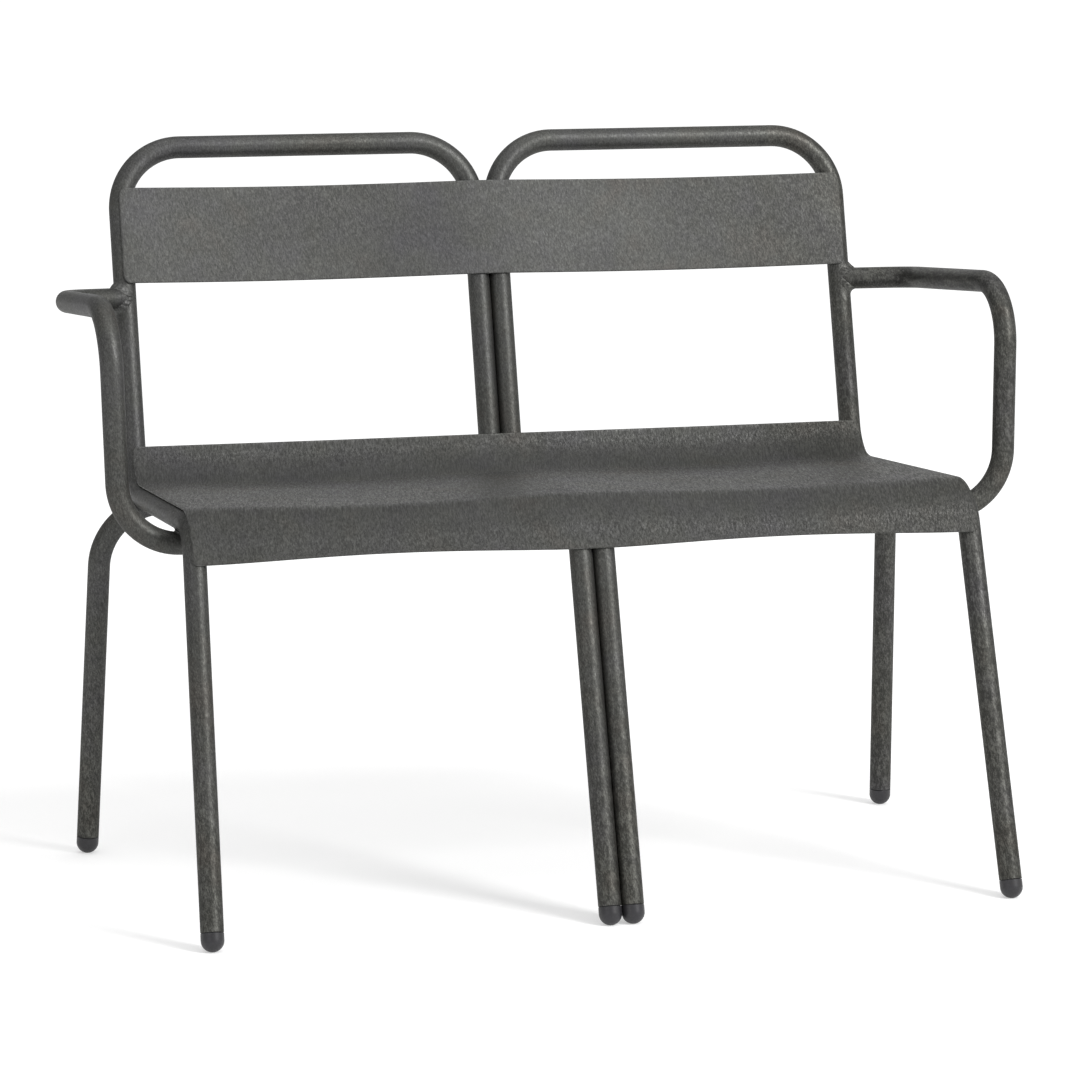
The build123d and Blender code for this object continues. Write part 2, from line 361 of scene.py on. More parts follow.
# a coat: fibres between a dark and a light colour, toned and tinted in patches, rubbed at the rims
def coat(name, look):
    material = bpy.data.materials.new(name)
    material.use_nodes = True
    tree = material.node_tree
    shader = tree.nodes["Principled BSDF"]
    shader.inputs["Metallic"].default_value = look["metallic"]
    shader.inputs["Specular Tint"].default_value = (look["rimGloss"],) * 3 + (1,)
    grain = addNode(tree, "ShaderNodeAttribute", attribute_name="grain").outputs["Vector"]
    edge = addNode(tree, "ShaderNodeAttribute", attribute_name="edge").outputs["Fac"]
    paintedLight = addNode(tree, "ShaderNodeAttribute", attribute_name="paintedLight").outputs["Fac"]
    here = addNode(tree, "ShaderNodeTexCoord").outputs["Object"]
    fibre = placeGroup(tree, "fibre", {
        "Place": grain, "Across": look["across"], "Along": look["along"], "Lean": look["lean"]})
    patch = placeGroup(tree, "patch", {"Place": here, "Size": look["patches"]})
    bare = placeGroup(tree, "rub", {"Edge": edge, "Place": here, "Reach": look["rubReach"]})["Bare"]
    # the more darkened, the further the fibres stand off their middle tone, and the blotchier
    contrast = ranged(tree, patch["Darkening"], result=look["fleck"])
    offMiddle = maths(tree, "SUBTRACT", fibre["Flecks"], 0.5)
    flecks = maths(tree, "MULTIPLY_ADD", offMiddle, contrast, 0.5)
    blotch = ranged(tree, fibre["Mottle"], result=(-look["mottle"], look["mottle"]))
    blotched = maths(tree, "MULTIPLY_ADD", blotch, patch["Darkening"], flecks, clamp=True)
    fibres = maths(tree, "POWER", blotched, look["fleckPower"])
    colour = mixed(tree, fibres, look["dark"], look["light"])
    span = look["toneSpan"]
    tone = ramp(tree, patch["Tone"], [(0, (1 - span,) * 3), (1, (1 + span,) * 3)])
    # darker towards the floor, at one end of the bench and in random patches
    worn = ramp(tree, patch["Darkening"], [(0, (1, 1, 1)), (1, look["darkenedTone"])])
    # painted light and shade: where a piece carries this share, its coat is painted lighter by it, darker
    # where it is below 0
    lighter = maths(tree, "ADD", paintedLight, 1.0)
    for factor in (patch["Tint"], tone, worn, lighter):
        colour = mixed(tree, 1.0, colour, factor, "MULTIPLY")
    tree.links.new(mixed(tree, bare, colour, look["rubbedAndPaintedLight"]), shader.inputs["Base Color"])
    rough = ranged(tree, fibre["Flecks"], result=look["rough"][::-1])
    tree.links.new(rough, shader.inputs["Roughness"])
    bump = addNode(tree, "ShaderNodeBump", {
        "Height": fibre["Relief"], "Distance": look["relief"], "Strength": look["reliefStrength"]})
    tree.links.new(bump.outputs["Normal"], shader.inputs["Normal"])
    return material


tubeLook = {
    "metallic": 0.7,
    "rimGloss": 0.6,               # how much of a grazing reflection is left
    "dark": (0.046, 0.046, 0.0447),
    "light": (0.130, 0.130, 0.1266),
    "fleck": (0.8, 1.5),           # contrast of the fibres where the coat is not darkened and where it is fully darkened
    "fleckPower": 1.7,             # the higher, the fewer and finer the light fibres
    "mottle": 0.35,                # blotches where it is darkened
    "darkenedTone": (0.86, 0.85, 0.815),
    "rubbedAndPaintedLight": (0.19, 0.19, 0.185),
    "across": 640.0,               # fibres per metre
    "along": 285.0,
    "lean": 0.14,                  # sideways for each metre down
    "patches": 11.0,               # patches per metre
    "toneSpan": 0.10,
    "rubReach": 0.42,
    "rough": (0.44, 0.54),         # on light and on dark fibres
    "relief": 0.0002,
    "reliefStrength": 0.25,
}
sheetLook = dict(tubeLook, metallic=0.5, rimGloss=1.0, rough=(0.56, 0.66), mottle=0.2)
# the seat sheet's coat: the sheet coat made darker, painted shade on the seat, its lip and its apron
seatShadedLook = dict(
    sheetLook, dark=(0.0355, 0.0355, 0.0338), light=(0.080, 0.080, 0.0765), rough=(0.42, 0.78))
plugLook = {
    "metallic": 0.0,
    "rimGloss": 1.0,
    "dark": (0.014, 0.0135, 0.0155),
    "light": (0.026, 0.025, 0.029),
    "fleck": (1.0, 1.0),
    "fleckPower": 1.0,
    "mottle": 0.0,
    "darkenedTone": (1.0, 1.0, 1.0),
    "rubbedAndPaintedLight": (0.10, 0.10, 0.105),
    "across": 700.0,
    "along": 600.0,
    "lean": 0.0,
    "patches": 60.0,
    "toneSpan": 0.20,
    "rubReach": 0.40,
    "rough": (0.36, 0.52),
    "relief": 0.0001,
    "reliefStrength": 0.3,
}
finishes = {
    "tube_coat": coat("tubeCoat", tubeLook),
    "sheet_coat": coat("sheetCoat", sheetLook),
    "seat": coat("seatShadedCoat", seatShadedLook),
    "foot_plastic": coat("footPlastic", plugLook),
}
print("finishes ready")


# Tubes: a ring carried along a bent line, outside out and inside back, with a small chamfer at the ends
tubeMake = {
    "around": 48,
    "chamfer": 0.0004,
    "grainPull": 4.0,              # fibres are drawn out on the runs from front to back
}


def tubeShell(name, line, replaced, cope=None):
    spokes = ring(line["sides"][:, None], line["ups"][:, None], fullTurn(tubeMake["around"]))
    along = line["along"]
    fromEnd = np.minimum(along, along[-1] - along)
    chamfer = np.clip(tubeMake["chamfer"] - fromEnd, 0, None)[:, None, None]
    skins = []
    for radius in (bench["tubeRadius"] - chamfer, bench["tubeRadius"] - bench["tubeWall"] + 0 * chamfer):
        skin = line["points"][:, None] + spokes * radius
        if cope is not None:
            skin = skin + cope(spokes, radius, along)
        skins.append(skin)
    points = np.concatenate([skins[0], skins[1][::-1]])
    squeeze = line["points"][:, None] * [0, 1 - 1 / tubeMake["grainPull"], 0]
    grain = points - np.concatenate([squeeze, squeeze[::-1]])
    return makePiece(name, points, gridQuads(numbered(points), True, True), "tube_coat", [replaced], grain)


def withEnds(line):                # adds a ring just inside each end, for the chamfer
    for first, second in ((0, 1), (-1, -2)):
        share = tubeMake["chamfer"] / np.linalg.norm(line["points"][second] - line["points"][first])
        place = 1 if first == 0 else len(line["points"]) - 1
        for key in line:
            extra = line[key][first] + (line[key][second] - line[key][first]) * share
            line[key] = np.insert(line[key], place, extra, axis=0)
    return line


def legEnd(foot, top):             # a tube stops at the rim of its foot plug
    return foot + unit(top - foot) * bench["footCollar"]


frameTube = {"topBend": 0.072}


def frameLine(side):
    outer = [at(bench["footX"], bench["foot"]), at(bench["kneeX"], bench["knee"]),
             at(bench["uprightX"], bench["seatRear"]), at(bench["uprightX"], bench["rail"])]
    inner = [at(bench["innerX"], bench[key]) for key in ("rail", "seatRear", "knee", "foot")]
    outer[0] = legEnd(outer[0], outer[1])
    inner[3] = legEnd(inner[3], inner[2])
    bends = [bench["kneeBend"], bench["seatBend"], frameTube["topBend"]]
    return bentLine(mirrored(outer + inner, side), bends + bends[::-1])


for name, side in sides.items():
    tubeShell(name + "FrameTube", withEnds(frameLine(side)), name + "_frame_tube")

rearHoop = {
    "cornerX": 0.468,
    "footX": 0.481,
    "footY": 0.2272,
    "bend": 0.072,
    "seatAngle": math.radians(31),  # where it touches the seat bend, from straight below
}


def hoopRun():                     # Y and Z of the hoop's cross run, against the outside of the seat bends
    toKnee = sideVector("seatRear", "knee")
    toRail = sideVector("seatRear", "rail")
    half = math.acos(np.dot(toKnee, toRail)) / 2
    centre = np.array(bench["seatRear"]) + unit(toKnee + toRail) * bench["seatBend"] / math.sin(half)
    reach = bench["seatBend"] + 2 * bench["tubeRadius"] + bench["weldGap"]
    below = np.array([math.sin(rearHoop["seatAngle"]), -math.cos(rearHoop["seatAngle"])])
    return centre + below * reach


hoopCorner = at(rearHoop["cornerX"], hoopRun())
hoopFoot = at(rearHoop["footX"], (rearHoop["footY"], bench["foot"][1]))


def hoopLine(*steps):
    half = [legEnd(hoopFoot, hoopCorner), hoopCorner]
    return bentLine(np.concatenate([mirrored(half, -1), half[::-1]]), [rearHoop["bend"]] * 2, *steps)


tubeShell("rearLegHoop", withEnds(hoopLine()), "rear_leg_hoop")

arms = {
    "rootHeight": 0.6316,
    "shoulder": (0.504, 0.2045, 0.6345),
    "front": (0.5082, -0.0853, 0.655),
    "baseX": 0.5022,
    "baseY": -0.0955,
    "tail": 0.016,                 # runs on past the middle of the seat rail
    "bends": (0.048, 0.068, 0.068),
}


def armCorners(side):
    root = onUpright(bench["uprightX"], arms["rootHeight"])
    seatRear = at(bench["uprightX"], bench["seatRear"])
    rail = onRun(seatRear, at(bench["kneeX"], bench["knee"]), 1, arms["baseY"])
    slope = sideVector("seatRear", "knee")
    baseHeight = rail[2] + (2 * bench["tubeRadius"] + bench["weldGap"]) / slope[0]
    corners = [root, arms["shoulder"], arms["front"],
               (arms["baseX"], arms["baseY"], baseHeight),
               (rail[0] - arms["tail"], arms["baseY"], baseHeight)]
    return mirrored(corners, side)


# how far along a run from the upright's axis a line beside it leaves the upright: the larger root of
# |s run + offset|^2 = R^2, both taken square to the upright
def uprightExit(run, offset, radius):
    flatRun = run - uprightRun * np.dot(run, uprightRun)
    flat = offset - uprightRun * (offset @ uprightRun)[..., None]
    a = flatRun @ flatRun
    b = flat @ flatRun
    c = np.sum(flat * flat, -1) - radius ** 2
    return (-b + np.sqrt(np.clip(b * b - a * c, 0, None))) / a


def armCope(side):                 # moves the skins of the arm's first run off the upright
    root, shoulder, front = armCorners(side)[:3]
    run = unit(shoulder - root)
    turn = math.acos(np.dot(run, unit(front - shoulder)))
    length = np.linalg.norm(shoulder - root) - arms["bends"][0] * math.tan(turn / 2)

    def cope(spokes, radius, along):
        start = uprightExit(run, spokes[0] * radius[0], bench["tubeRadius"] + bench["weldGap"])
        share = np.clip(1 - along / length, 0, 1)
        return share[:, None, None] * start[None, :, None] * run

    return cope


for name, side in sides.items():
    line = bentLine(armCorners(side), arms["bends"])
    tubeShell(name + "Arm", withEnds(line), name + "_arm", armCope(side))
print("tubes ready")


# Sheets: a surface with a soft half-round rim, closed over and under
sheetMake = {
    "ends": (0, 0.00015, 0.0005, 0.001, 0.002, 0.0035, 0.0055, 0.009),   # first places in from an end
    "edgeReach": 0.004,            # how far in from the rim the coat may be rubbed
}
sheetRise = bench["tubeRadius"] + bench["sheetGap"] + bench["sheet"] / 2   # from a tube's axis to mid sheet


# distance in from the rim of an oblong with round corners
def rimDistance(x, s, halfWidth, halfLength, corner):
    pastX = np.abs(x) - (halfWidth - corner)
    pastS = np.abs(s) - (halfLength - corner)
    outside = np.hypot(np.clip(pastX, 0, None), np.clip(pastS, 0, None))
    return corner - outside - np.clip(np.maximum(pastX, pastS), None, 0)


def stations(length, step):        # places along a length, close together near both ends
    ends = np.array(sheetMake["ends"])
    count = max(2, math.ceil((length - 2 * ends[-1]) / step))
    middle = np.linspace(ends[-1], length - ends[-1], count)
    return np.concatenate([ends[:-1], middle, length - ends[:-1][::-1]])


# 1 in the middle of each seat, 0 at the tubes and outside them: a parabola, raised to a power that lays
# its ends flat on the tubes
def hollowAt(x, power):
    share = np.clip((np.abs(x) - bench["innerX"]) / (bench["uprightX"] - bench["innerX"]), 0, 1)
    return (4 * share * (1 - share)) ** power


def rowWidths(halfWidth, s, length, corner):   # half width of each row, drawn in round the corners
    fromEnd = np.clip(np.minimum(s, length - s), 0, corner)
    return halfWidth - (corner - np.sqrt(np.clip(corner ** 2 - (corner - fromEnd) ** 2, 0, None)))


# two skins, half a thickness over and under a middle surface, that close in a half circle at the rim
def sheetShell(name, middle, normal, rim, replaced, finish, grainAcross, grainAlong, paintedLight=0.0):
    half = bench["sheet"] / 2
    rise = half * np.sqrt(np.clip(1 - np.clip(1 - rim / half, 0, 1) ** 2, 0, 1))
    rise[[0, -1]] = 0
    rise[:, [0, -1]] = 0
    lift = normal * rise[..., None]
    points = np.stack([middle + lift, middle - lift])
    grain = np.stack(np.broadcast_arrays(grainAcross, np.stack([rise, -rise]), grainAlong), -1)
    edge = np.clip(1 - np.stack([rim, rim]) / sheetMake["edgeReach"], 0, 1)
    over, under = numbered(points)
    quads = np.concatenate([gridQuads(over, False, False), gridQuads(under, False, False)[:, ::-1]])
    return makePiece(name, points, quads, "sheet_coat", [replaced], grain, edge.ravel(),
                     np.broadcast_to(paintedLight, edge.shape).ravel(), finish)


backSheet = {
    "bottom": 0.6465,              # height of the lower edge on the upright's centre line
    "top": 0.752,
    "dish": 0.013,
    "dishPower": 1.35,             # the nearer to 1, the closer to the tubes the hollow begins
    "overhang": 0.003,
    "corner": 0.008,
    "step": 0.008,
}


def buildBackSheet():
    length = (backSheet["top"] - backSheet["bottom"]) / uprightRun[2]
    s = stations(length, backSheet["step"])[:, None]
    halfWidth = bench["uprightX"] + backSheet["overhang"]
    columns = stations(2 * halfWidth, backSheet["step"]) / halfWidth - 1
    x = columns * rowWidths(halfWidth, s, length, backSheet["corner"])
    depth = sheetRise - backSheet["dish"] * hollowAt(x, backSheet["dishPower"])
    middle = onUpright(0, backSheet["bottom"]) + uprightRun * s[..., None] + uprightFront * depth[..., None]
    middle[..., 0] = x
    rim = rimDistance(x, s - length / 2, halfWidth, length / 2, backSheet["corner"])
    return sheetShell("backSheet", middle, uprightFront, rim, "back_sheet", "sheet_coat", x, s)


buildBackSheet()

seatSheet = {
    "lipStraight": 0.003,          # rear lip past the end of the seat bend
    "apronStraight": 0.013,        # front apron past the end of the knee bend
    "apronArch": 0.0045,           # rise of the lower front edge in the middle of each seat
    "seatDish": 0.004,
    "lipDish": 0.003,
    "dishPower": 1.8,
    "grainPull": 4.0,              # fibres are drawn out on the flat of the seat
    "pullPower": 8,                # the higher, the sooner the pull ends in the bends
    "grainTurn": 0.27,             # sideways for each metre to the front
    # bands of painted light at the lip's edge and where the seat leaves its rear bend, and painted shade in
    # the lip's middle and low on the apron
    "rubbedAndPaintedLight": (                    # painted light and shade bands: place from the lip's edge or back from the front one, spread, how much paler the coat is painted (darker below 0)
        (0.0, 0.008, 0.30),
        (0.023, 0.014, -0.16),
        (0.064, 0.016, 0.40),
        (-0.027, 0.020, -0.22),
    ),
    "overhang": 0.0055,
    "corner": 0.0065,
    "step": 0.008,
}


def cross2(a, b):
    return a[..., 0] * b[..., 1] - a[..., 1] * b[..., 0]


def turned2(v, angles):
    c, s = np.cos(angles), np.sin(angles)
    return np.stack([v[0] * c - v[1] * s, v[0] * s + v[1] * c], -1)


def meet(point, run, other, otherRun):   # crossing of two side view lines
    return point + run * (cross2(other - point, otherRun) / cross2(run, otherRun))[..., None]


# corners of the bent sheet's middle surface in side view: lip top, rear, front and apron end
def seatCorners(hollow):
    rail, seatRear, knee, foot = (np.array(bench[key]) for key in ("rail", "seatRear", "knee", "foot"))
    railRun, seatRun, legRun = unit(rail - seatRear), unit(knee - seatRear), unit(foot - knee)
    lipNormal = np.array([-railRun[1], railRun[0]])
    seatNormal = np.array([seatRun[1], -seatRun[0]])
    apronNormal = np.array([legRun[1], -legRun[0]])
    rearTurn = math.acos(-np.dot(seatRun, railRun))
    kneeTurn = math.acos(np.dot(seatRun, legRun))
    lipReach = bench["seatBend"] * math.tan(rearTurn / 2) + seatSheet["lipStraight"]
    lipDepth = sheetRise - seatSheet["lipDish"] * hollow
    lipTop = seatRear + railRun * lipReach + lipNormal * lipDepth[..., None]
    apronLength = seatSheet["apronStraight"] - seatSheet["apronArch"] * hollow
    apronReach = bench["kneeBend"] * math.tan(kneeTurn / 2) + apronLength
    apronEnd = knee + legRun * apronReach[..., None] + apronNormal * sheetRise
    seatPoint = seatRear + seatNormal * (sheetRise - seatSheet["seatDish"] * hollow)[..., None]
    rear = meet(lipTop, railRun, seatPoint, seatRun)
    front = meet(apronEnd, legRun, seatPoint, seatRun)
    bends = (bench["seatBend"] - sheetRise, rearTurn), (bench["kneeBend"] + sheetRise, kneeTurn)
    return (lipTop, rear, front, apronEnd), (-railRun, seatRun, legRun), bends


# side view points at distances s along the sheet, for each hollow: straight runs shared out between the
# corners, and arcs that hang at a fixed offset from their corner
def seatSide(s, hollow):
    (lipTop, rear, front, apronEnd), runs, bends = seatCorners(hollow)
    reaches = [radius * math.tan(turn / 2) for radius, turn in bends]
    arcs = [radius * turn for radius, turn in bends]
    flat = np.concatenate(seatCorners(np.zeros(1))[0])
    spans = np.linalg.norm(np.diff(flat, axis=0), axis=1)
    straights = spans - [reaches[0], sum(reaches), reaches[1]]
    marks = np.cumsum([straights[0], arcs[0], straights[1], arcs[1], straights[2]])
    starts = np.concatenate([[0], marks[:-1]])
    share = np.clip((s[None] - starts[:, None]) / (marks - starts)[:, None], 0, 1)
    which = np.clip(np.searchsorted(marks, s), 0, len(marks) - 1)

    def between(a, b, t):
        return a + (b - a) * t[:, None, None]

    def arc(corner, before, bend, reach, turnSign, t):
        radius, turn = bend
        inward = turned2(before, np.array(turnSign * math.pi / 2)) * radius
        offset = -before * reach + inward - turned2(inward, turnSign * turn * t)
        return corner + offset[:, None]

    rearTurnSign = np.sign(cross2(runs[0], runs[1]))
    kneeTurnSign = np.sign(cross2(runs[1], runs[2]))
    choices = [
        between(lipTop, rear - runs[0] * reaches[0], share[0]),
        arc(rear, runs[0], bends[0], reaches[0], rearTurnSign, share[1]),
        between(rear + runs[1] * reaches[0], front - runs[1] * reaches[1], share[2]),
        arc(front, runs[1], bends[1], reaches[1], kneeTurnSign, share[3]),
        between(front + runs[2] * reaches[1], apronEnd, share[4]),
    ]
    side = np.choose(which[:, None, None], choices)
    heading = rearTurnSign * bends[0][1] * share[1] + kneeTurnSign * bends[1][1] * share[3]
    tangent = turned2(runs[0], heading)
    normal = np.stack([tangent[:, 1], -tangent[:, 0]], -1)
    return side, normal, marks[-1]


def buildSeatSheet():
    length = seatSide(np.zeros(1), np.zeros((1, 1)))[2]
    s = stations(length, seatSheet["step"] / 2)
    flat = seatSide(s, np.zeros((len(s), 1)))[0][:, 0]
    forward = (bench["seatRear"][0] - flat[:, 0]) / (bench["seatRear"][0] - bench["knee"][0])
    halfWidth = bench["uprightX"] + (bench["kneeX"] - bench["uprightX"]) * forward + seatSheet["overhang"]
    halfWidth = halfWidth[:, None]
    columns = stations(2 * halfWidth.mean(), seatSheet["step"]) / halfWidth.mean() - 1
    x = columns * rowWidths(halfWidth, s[:, None], length, seatSheet["corner"])
    side, normal, _ = seatSide(s, hollowAt(x, seatSheet["dishPower"]))
    middle = np.concatenate([x[..., None], side], -1)
    lift = np.concatenate([np.zeros((len(s), 1)), normal], -1)[:, None]
    rim = rimDistance(x, s[:, None] - length / 2, halfWidth, length / 2, seatSheet["corner"])
    level = normal[:, 1]           # 1 on the flat of the seat, where the fibres are drawn out and turned
    pull = 1 + (seatSheet["grainPull"] - 1) * level ** seatSheet["pullPower"]
    along = -np.concatenate([[0], np.cumsum(np.diff(s) / pull[1:])])   # falls towards the front edge
    aside = seatSheet["grainTurn"] * np.concatenate([[0], np.cumsum(np.diff(s) * level[1:])])
    # painted light and shade: the bands summed into how much lighter or darker the seat sheet's coat is
    # painted along it
    place, spread, amount = np.array(seatSheet["rubbedAndPaintedLight"]).T
    place = np.where(place < 0, length + place, place)
    paintedLight = (amount * np.exp(-((s[:, None] - place) / spread) ** 2)).sum(1)
    return sheetShell("seatSheet", middle, lift, rim, "seat_sheet", "seat",
                      x + aside[:, None], along[:, None], paintedLight[:, None])


buildSeatSheet()
print("sheets ready")


# Foot plugs: a dome, a rim and a stem, turned about the leg's axis and worn flat on the floor
footPlug = {
    "around": 48,
    "domeRings": 25,
    "joint": 0.0004,               # between the rim and the tube's end
    "chamfer": 0.0005,
    "stem": 0.022,
    "stemGap": 0.0002,
    "wornReach": 0.003,            # how far up from the floor the plug may be rubbed
}


def buildPlug(name, foot, legTop, replaced):
    axis = unit(legTop - foot)
    side = unit(np.cross(axis, [1, 0, 0]))
    radius = bench["tubeRadius"]
    stem = radius - bench["tubeWall"] - footPlug["stemGap"]
    top = bench["footCollar"] - footPlug["joint"]
    dome = np.linspace(-math.pi / 2, 0, footPlug["domeRings"])
    rims = np.array([
        (radius, top / 2), (radius, top - footPlug["chamfer"]), (radius - footPlug["chamfer"], top),
        (stem, top), (stem, top + footPlug["stem"]), (0, top + footPlug["stem"])])
    reach = np.concatenate([radius * np.cos(dome), rims[:, 0]])
    height = np.concatenate([radius * np.sin(dome), rims[:, 1]])
    reach[0] = 0
    spokes = ring(side, np.cross(axis, side), fullTurn(footPlug["around"]))
    points = foot + axis * height[:, None, None] + spokes * reach[:, None, None]
    points[..., 2] = np.clip(points[..., 2], 0, None)
    worn = np.clip(1 - points[..., 2] / footPlug["wornReach"], 0, 1).ravel()
    return makePiece(name, points, gridQuads(numbered(points), False, True), "foot_plastic", [replaced],
                     edge=worn)


legs = {
    "outer_front": (at(bench["footX"], bench["foot"]), at(bench["kneeX"], bench["knee"])),
    "inner_front": (at(bench["innerX"], bench["foot"]), at(bench["innerX"], bench["knee"])),
    "rear": (hoopFoot, hoopCorner),
}
for name, side in sides.items():
    for leg, ends in legs.items():
        foot, legTop = mirrored(ends, side)
        plugName = name + leg.title().replace("_", "") + "Foot"
        buildPlug(plugName, foot, legTop, f"{name}_{leg}_foot")
print("foot plugs ready")


# Welds

# bead round the rear end of an arm: from a toe on the arm to a toe on the upright, over a crown that
# stands off the line where the two tubes meet, with a ripple along it
armWeld = {
    "around": 160,
    "across": 9,
    "armLeg": (0.0050, 0.0074, 0.0062),      # beside, above and below the arm
    "uprightLeg": (0.0046, 0.0074, 0.0064),
    "crown": (0.0016, 0.0030, 0.0014),
    "sunk": 0.0004,                # toes lie under the tubes' skins, and the root twice as deep
    "ripples": 19,
    "ripple": 0.00028,
    "sweep": 2.2,                  # how far the ripples bow along the bead
    "lumps": ((3, 1.1, 0.5), (5, 2.3, 0.35), (8, 0.4, 0.3)),   # waves round the arm, start and share
    "lump": 0.0007,
}


def roundArm(values, turn):        # blends beside, above and below by the angle from straight up
    beside, above, below = values
    up = np.cos(turn)
    return beside + (above - beside) * np.clip(up, 0, 1) ** 2 + (below - beside) * np.clip(-up, 0, 1) ** 2


def buildArmWeld(name, side):
    root, shoulder = armCorners(side)[:2]
    run = unit(shoulder - root)
    radius = bench["tubeRadius"]
    up = unit(uprightRun - run * np.dot(uprightRun, run))
    turn = fullTurn(armWeld["around"])
    spoke = ring(up, np.cross(run, up), turn)
    fromRoot = run * uprightExit(run, spoke * radius, radius)[:, None] + spoke * radius
    seam = root + fromRoot
    armToe = seam + run * roundArm(armWeld["armLeg"], turn)[:, None]
    out = unit(run - uprightRun * np.dot(run, uprightRun))
    across = np.cross(uprightRun, out)
    leg = roundArm(armWeld["uprightLeg"], turn)
    height = fromRoot @ uprightRun + leg * np.cos(turn)
    lateral = np.sign(np.dot(across, np.cross(run, up)))
    bearing = np.arctan2(fromRoot @ across, fromRoot @ out) + lateral * leg * np.sin(turn) / radius
    around = ring(out, across, bearing)
    uprightToe = root + uprightRun * height[:, None] + around * radius
    seamNormal = unit(spoke + unit(fromRoot - uprightRun * (fromRoot @ uprightRun)[:, None]))
    crown = seam + seamNormal * roundArm(armWeld["crown"], turn)[:, None]
    t = np.linspace(0, 1, armWeld["across"])[:, None, None]
    bead = (1 - t) ** 2 * armToe + 2 * t * (1 - t) * crown + t ** 2 * uprightToe
    belly = np.sin(math.pi * t[..., 0])
    lumps = sum(share * np.sin(waves * turn + start) for waves, start, share in armWeld["lumps"])
    ripple = armWeld["ripple"] * (1 + lumps) * np.cos(armWeld["ripples"] * turn + armWeld["sweep"] * belly)
    bead = bead + seamNormal * (belly * (ripple + armWeld["lump"] * lumps))[..., None]
    bead[0] -= spoke * armWeld["sunk"]
    bead[-1] -= around * armWeld["sunk"]
    points = np.concatenate([bead, (seam - seamNormal * 2 * armWeld["sunk"])[None]])
    return makePiece(name + "ArmWeld", points, gridQuads(numbered(points), True, True), "tube_coat",
                     [name + "_arm_weld"])


for name, side in sides.items():
    buildArmWeld(name, side)

# bead that fills the wedge round the point where two tubes cross: a wall that goes round the line between
# their axes and stands from one skin to the other, drawn in halfway up, with a ripple round it
crossWeld = {
    "around": 72,
    "across": 9,
    "radius": 0.0085,
    "flare": 0.0022,               # how much wider the bead is at its toes
    "core": 0.0040,                # radius of the hollow inside
    "sunk": 0.0007,                # toes lie under the tubes' skins
    "ripples": 14,
    "ripple": 0.0002,
    "search": (0.001, math.radians(1)),   # steps on runs and in bends, in looking for the crossing
}


def seatLine(side, kneeX, rearX):  # one side of a frame tube, from the knee to the top rail
    corners = [at(kneeX, bench["knee"]), at(rearX, bench["seatRear"]), at(rearX, bench["rail"])]
    return bentLine(mirrored(corners, side), [bench["seatBend"]], *crossWeld["search"])


def nearest(line, other):          # where two lines come closest: a point and a direction on each
    gaps = np.linalg.norm(line["points"][:, None] - other["points"], axis=-1)
    here, there = np.unravel_index(np.argmin(gaps), gaps.shape)
    return line["points"][here], line["tangents"][here], other["points"][there], other["tangents"][there]


def buildCrossWeld(name, line, other, replaced):
    here, run, there, otherRun = nearest(line, other)
    depth = np.linalg.norm(there - here)
    normal = (there - here) / depth
    run = unit(run - normal * np.dot(run, normal))
    otherRun = unit(otherRun - normal * np.dot(otherRun, normal))
    turn = fullTurn(crossWeld["around"])
    spoke = ring(run, np.cross(normal, run), turn)
    t = np.linspace(0, 1, crossWeld["across"])[:, None]
    wave = crossWeld["ripple"] * np.sin(math.pi * t) * np.cos(crossWeld["ripples"] * turn)
    reach = crossWeld["radius"] + crossWeld["flare"] * (2 * t - 1) ** 2 + wave
    radius = bench["tubeRadius"]
    offOther = reach * (spoke @ np.cross(normal, otherRun))
    low = np.sqrt(radius ** 2 - (reach * np.sin(turn)) ** 2) - crossWeld["sunk"]
    high = depth - np.sqrt(radius ** 2 - offOther ** 2) + crossWeld["sunk"]
    wall = here + normal * (low + (high - low) * t)[..., None] + spoke * reach[..., None]
    core = here + normal * depth / 2 + spoke * crossWeld["core"]
    points = np.concatenate([wall, core[None]])
    return makePiece(name, points, gridQuads(numbered(points), True, True), "tube_coat", [replaced])


hoop = hoopLine(*crossWeld["search"])
for name, side in sides.items():
    outerSeat = seatLine(side, bench["kneeX"], bench["uprightX"])
    innerSeat = seatLine(side, bench["innerX"], bench["innerX"])
    armFront = bentLine(armCorners(side)[2:], arms["bends"][2:], *crossWeld["search"])
    buildCrossWeld(name + "OuterHoopWeld", outerSeat, hoop, name + "_outer_hoop_weld")
    buildCrossWeld(name + "InnerHoopWeld", innerSeat, hoop, name + "_inner_hoop_weld")
    buildCrossWeld(name + "ArmTailWeld", outerSeat, armFront, name + "_arm_tail_weld")

# short beads in the wedge between a tube and its sheet: a ring carried along the tube, thick in the middle
# and closed to a point at both ends, with a ripple along it
stitchWeld = {
    "around": 16,
    "along": 61,
    "length": 0.024,
    "radius": 0.0028,
    "beside": 0.0088,              # from the tube's axis, square to it along the sheet and towards the sheet
    "towards": 0.0112,
    "ripples": 11,
    "ripple": 0.0003,
    "backShares": (0.2, 0.8),      # places up the back sheet
    "seatShares": (0.22, 0.5, 0.78),   # places along the seat rails, from the rear
}


